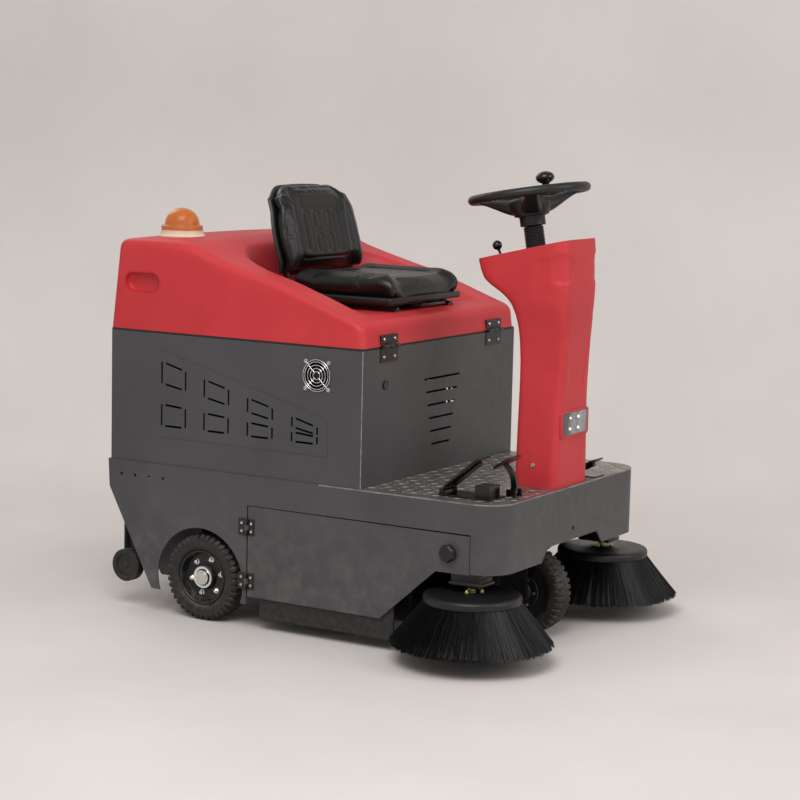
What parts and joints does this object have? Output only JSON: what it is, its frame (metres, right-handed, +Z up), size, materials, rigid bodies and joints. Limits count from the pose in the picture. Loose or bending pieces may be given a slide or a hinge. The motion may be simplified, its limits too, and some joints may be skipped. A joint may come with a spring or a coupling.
{
  "type": "ride-on sweeper",
  "caption": "Three-wheeled ride-on floor sweeper with a tilting seat hood, steering console, roller brush, lifting side brushes and a pull-out hopper.",
  "frame": {"origin": "on the floor, under the middle of the machine", "axes": "+X to the front, +Y to the machine's left side, +Z up"},
  "size_m": [1.459, 1.25, 1.3098],
  "materials": {
    "grey_paint": "textured powder coat",
    "black_paint": "satin black powder coat",
    "chequer": "worn chequer plate",
    "zinc": "bright zinc",
    "red_plastic": "fine rotomoulded grain",
    "black_plastic": "fine grain",
    "gloss_black": "smooth",
    "rubber": "matt",
    "tyre": "matt, dusty",
    "vinyl": "soft vinyl skin",
    "lens": "clear",
    "amber": "amber, fluted inside",
    "cream": "satin",
    "red_button": "smooth",
    "bristle": "crimped filaments",
    "battery": "moulded case",
    "grey_metal": "cast",
    "chrome": "bright"
  },
  "bodies": {
    "chassis": {"chassis_shell": "grey_paint", "chassis_frame": "black_paint", "floor_plate": "chequer", "rear_axle": "zinc", "side_skirts": "rubber", "pedal_bracket": "black_paint", "console_cover": "red_plastic", "dash_panel": "black_plastic", "headlight_lens": "lens", "steering_boot": "rubber", "cabinet_shell": "grey_paint", "hood_gasket": "rubber", "fan_guard": "chrome", "batteries": "battery", "motor_controller": "grey_metal", "vacuum_fan": "grey_metal", "hinge_leaves": "black_paint", "fasteners": "zinc"},
    "fork": {"front_fork": "black_paint"},
    "front_wheel": {"front_tyre": "tyre", "front_hub_motor": "grey_metal"},
    "rear_wheel_right": {"rear_tyre_right": "tyre", "rear_rim_right": "black_paint"},
    "rear_wheel_left": {"rear_tyre_left": "tyre", "rear_rim_left": "black_paint"},
    "wheel_column": {"steering_wheel": "black_plastic"},
    "horn": {"horn_button": "black_plastic"},
    "spinner": {"spinner_knob": "gloss_black"},
    "lever": {"direction_lever": "gloss_black"},
    "key": {"key_switch": "zinc"},
    "stop_button": {"emergency_stop": "red_button"},
    "accelerator": {"accelerator_pedal": "black_paint"},
    "brake": {"brake_pedal": "black_paint"},
    "flap": {"flap_pedal": "black_paint"},
    "lock": {"cabinet_lock": "zinc"},
    "fan_rotor": {"cooling_fan": "black_plastic"},
    "hood": {"hood_shell": "red_plastic", "hood_hinge_flaps": "black_paint", "beacon_base": "cream", "beacon_dome": "amber", "seat_rails": "black_paint"},
    "reflector": {"beacon_reflector": "chrome"},
    "seat": {"seat_shell": "black_plastic", "seat_pan_cushion": "vinyl", "seat_back_cushion": "vinyl"},
    "adjuster": {"seat_lever": "black_paint"},
    "door_r": {"door_right": "grey_paint"},
    "door_l": {"door_left": "grey_paint"},
    "knob_r": {"door_knob_right": "black_plastic"},
    "knob_l": {"door_knob_left": "black_plastic"},
    "roller": {"main_brush_core": "black_plastic", "main_brush_bristles": "bristle"},
    "lift_r": {"side_brush_motor_right": "black_paint"},
    "lift_l": {"side_brush_motor_left": "black_paint"},
    "brush_r": {"side_brush_disc_right": "black_plastic", "side_bristles_right": "bristle"},
    "brush_l": {"side_brush_disc_left": "black_plastic", "side_bristles_left": "bristle"},
    "hopper": {"hopper_bin": "grey_paint"},
    "hopper_rollers": {"hopper_wheels": "rubber"}
  },
  "joints": [
    {"name": "front_steer", "type": "hinge", "parent": "chassis", "child": "fork", "pos_m": [0.46, 0, 0.4], "axis": [0, 0, 1], "range_deg": [-60, 60]},
    {"name": "steering_wheel_turn", "type": "hinge", "parent": "chassis", "child": "wheel_column", "pos_m": [0.429, 0, 1.248], "axis": [-0.1736, 0, 0.9848], "range_deg": [-60, 60]},
    {"name": "front_wheel_spin", "type": "hinge", "parent": "fork", "child": "front_wheel", "pos_m": [0.46, 0, 0.125], "axis": [0, 1, 0], "continuous": true},
    {"name": "rear_right_spin", "type": "hinge", "parent": "chassis", "child": "rear_wheel_right", "pos_m": [-0.371, -0.3945, 0.125], "axis": [0, 1, 0], "continuous": true},
    {"name": "rear_left_spin", "type": "hinge", "parent": "chassis", "child": "rear_wheel_left", "pos_m": [-0.371, 0.3945, 0.125], "axis": [0, 1, 0], "continuous": true},
    {"name": "horn_press", "type": "slide", "parent": "wheel_column", "child": "horn", "axis": [0.1736, 0, -0.9848], "range_m": [0, 0.003], "stiffness_N_per_m": 500, "springref_m": -0.003},
    {"name": "spinner_turn", "type": "hinge", "parent": "wheel_column", "child": "spinner", "pos_m": [0.41196, 0.14094, 1.24499], "axis": [-0.1736, 0, 0.9848], "continuous": true},
    {"name": "direction_lever_tilt", "type": "hinge", "parent": "chassis", "child": "lever", "pos_m": [0.384, -0.06, 1.062], "axis": [0, 1, 0], "range_deg": [-14, 14]},
    {"name": "key_turn", "type": "hinge", "parent": "chassis", "child": "key", "pos_m": [0.372, 0, 1.06278], "axis": [-0.2303, 0, 0.9731], "range_deg": [0, 60]},
    {"name": "stop_press", "type": "slide", "parent": "chassis", "child": "stop_button", "axis": [0.2303, 0, -0.9731], "range_m": [0, 0.004]},
    {"name": "accelerator_press", "type": "hinge", "parent": "chassis", "child": "accelerator", "pos_m": [0.385, -0.338, 0.454], "axis": [0, 1, 0], "range_deg": [0, 15], "stiffness_Nm_per_rad": 12, "springref_deg": -11.46},
    {"name": "brake_press", "type": "hinge", "parent": "chassis", "child": "brake", "pos_m": [0.548, -0.262, 0.452], "axis": [0, 1, 0], "range_deg": [0, 18], "stiffness_Nm_per_rad": 15, "springref_deg": -8.59},
    {"name": "flap_press", "type": "hinge", "parent": "chassis", "child": "flap", "pos_m": [0.519, 0.18, 0.45], "axis": [0, 1, 0], "range_deg": [0, 12], "stiffness_Nm_per_rad": 10, "springref_deg": -11.46},
    {"name": "lock_turn", "type": "hinge", "parent": "chassis", "child": "lock", "pos_m": [0.1635, -0.315, 0.717], "axis": [1, 0, 0], "range_deg": [0, 90]},
    {"name": "fan_spin", "type": "hinge", "parent": "chassis", "child": "fan_rotor", "pos_m": [0.017, -0.42, 0.743], "axis": [0, 1, 0], "continuous": true},
    {"name": "hood_open", "type": "hinge", "parent": "chassis", "child": "hood", "pos_m": [0.17, 0, 0.826], "axis": [0, 1, 0], "range_deg": [0, 50]},
    {"name": "beacon_turn", "type": "hinge", "parent": "hood", "child": "reflector", "pos_m": [-0.585, -0.25, 1.12], "axis": [0, 0, 1], "continuous": true},
    {"name": "seat_slide", "type": "slide", "parent": "hood", "child": "seat", "axis": [1, 0, 0], "range_m": [-0.03, 0.09]},
    {"name": "seat_lever_lift", "type": "hinge", "parent": "seat", "child": "adjuster", "pos_m": [0.04, 0, 0.92], "axis": [0, -1, 0], "range_deg": [0, 5], "stiffness_Nm_per_rad": 3, "springref_deg": -11.46},
    {"name": "door_right_open", "type": "hinge", "parent": "chassis", "child": "door_r", "pos_m": [-0.207, -0.444, 0.22], "axis": [0, 0, -1], "range_deg": [0, 100]},
    {"name": "door_left_open", "type": "hinge", "parent": "chassis", "child": "door_l", "pos_m": [-0.207, 0.444, 0.22], "axis": [0, 0, 1], "range_deg": [0, 100]},
    {"name": "knob_right_turn", "type": "hinge", "parent": "door_r", "child": "knob_r", "pos_m": [0.453, -0.438, 0.302], "axis": [0, 1, 0], "range_deg": [0, 90]},
    {"name": "knob_left_turn", "type": "hinge", "parent": "door_l", "child": "knob_l", "pos_m": [0.453, 0.438, 0.302], "axis": [0, 1, 0], "range_deg": [0, 90]},
    {"name": "roller_spin", "type": "hinge", "parent": "chassis", "child": "roller", "pos_m": [0.054, 0, 0.15], "axis": [0, 1, 0], "continuous": true},
    {"name": "lift_right", "type": "slide", "parent": "chassis", "child": "lift_r", "axis": [0, 0, 1], "range_m": [-0.05, 0]},
    {"name": "lift_left", "type": "slide", "parent": "chassis", "child": "lift_l", "axis": [0, 0, 1], "range_m": [-0.05, 0]},
    {"name": "side_right_spin", "type": "hinge", "parent": "lift_r", "child": "brush_r", "pos_m": [0.503, -0.3985, 0.18], "axis": [0, 0, 1], "continuous": true},
    {"name": "side_left_spin", "type": "hinge", "parent": "lift_l", "child": "brush_l", "pos_m": [0.503, 0.3985, 0.18], "axis": [0, 0, 1], "continuous": true},
    {"name": "hopper_pull", "type": "slide", "parent": "chassis", "child": "hopper", "axis": [-1, 0, 0], "range_m": [0, 0.35]},
    {"name": "hopper_wheels_roll", "type": "hinge", "parent": "hopper", "child": "hopper_rollers", "pos_m": [-0.66, 0, 0.122], "axis": [0, 1, 0], "continuous": true}
  ],
  "couplings": [
    {"joint": "steering_wheel_turn", "follows": "front_steer", "ratio": 1},
    {"joint": "lift_left", "follows": "lift_right", "ratio": 1}
  ]
}
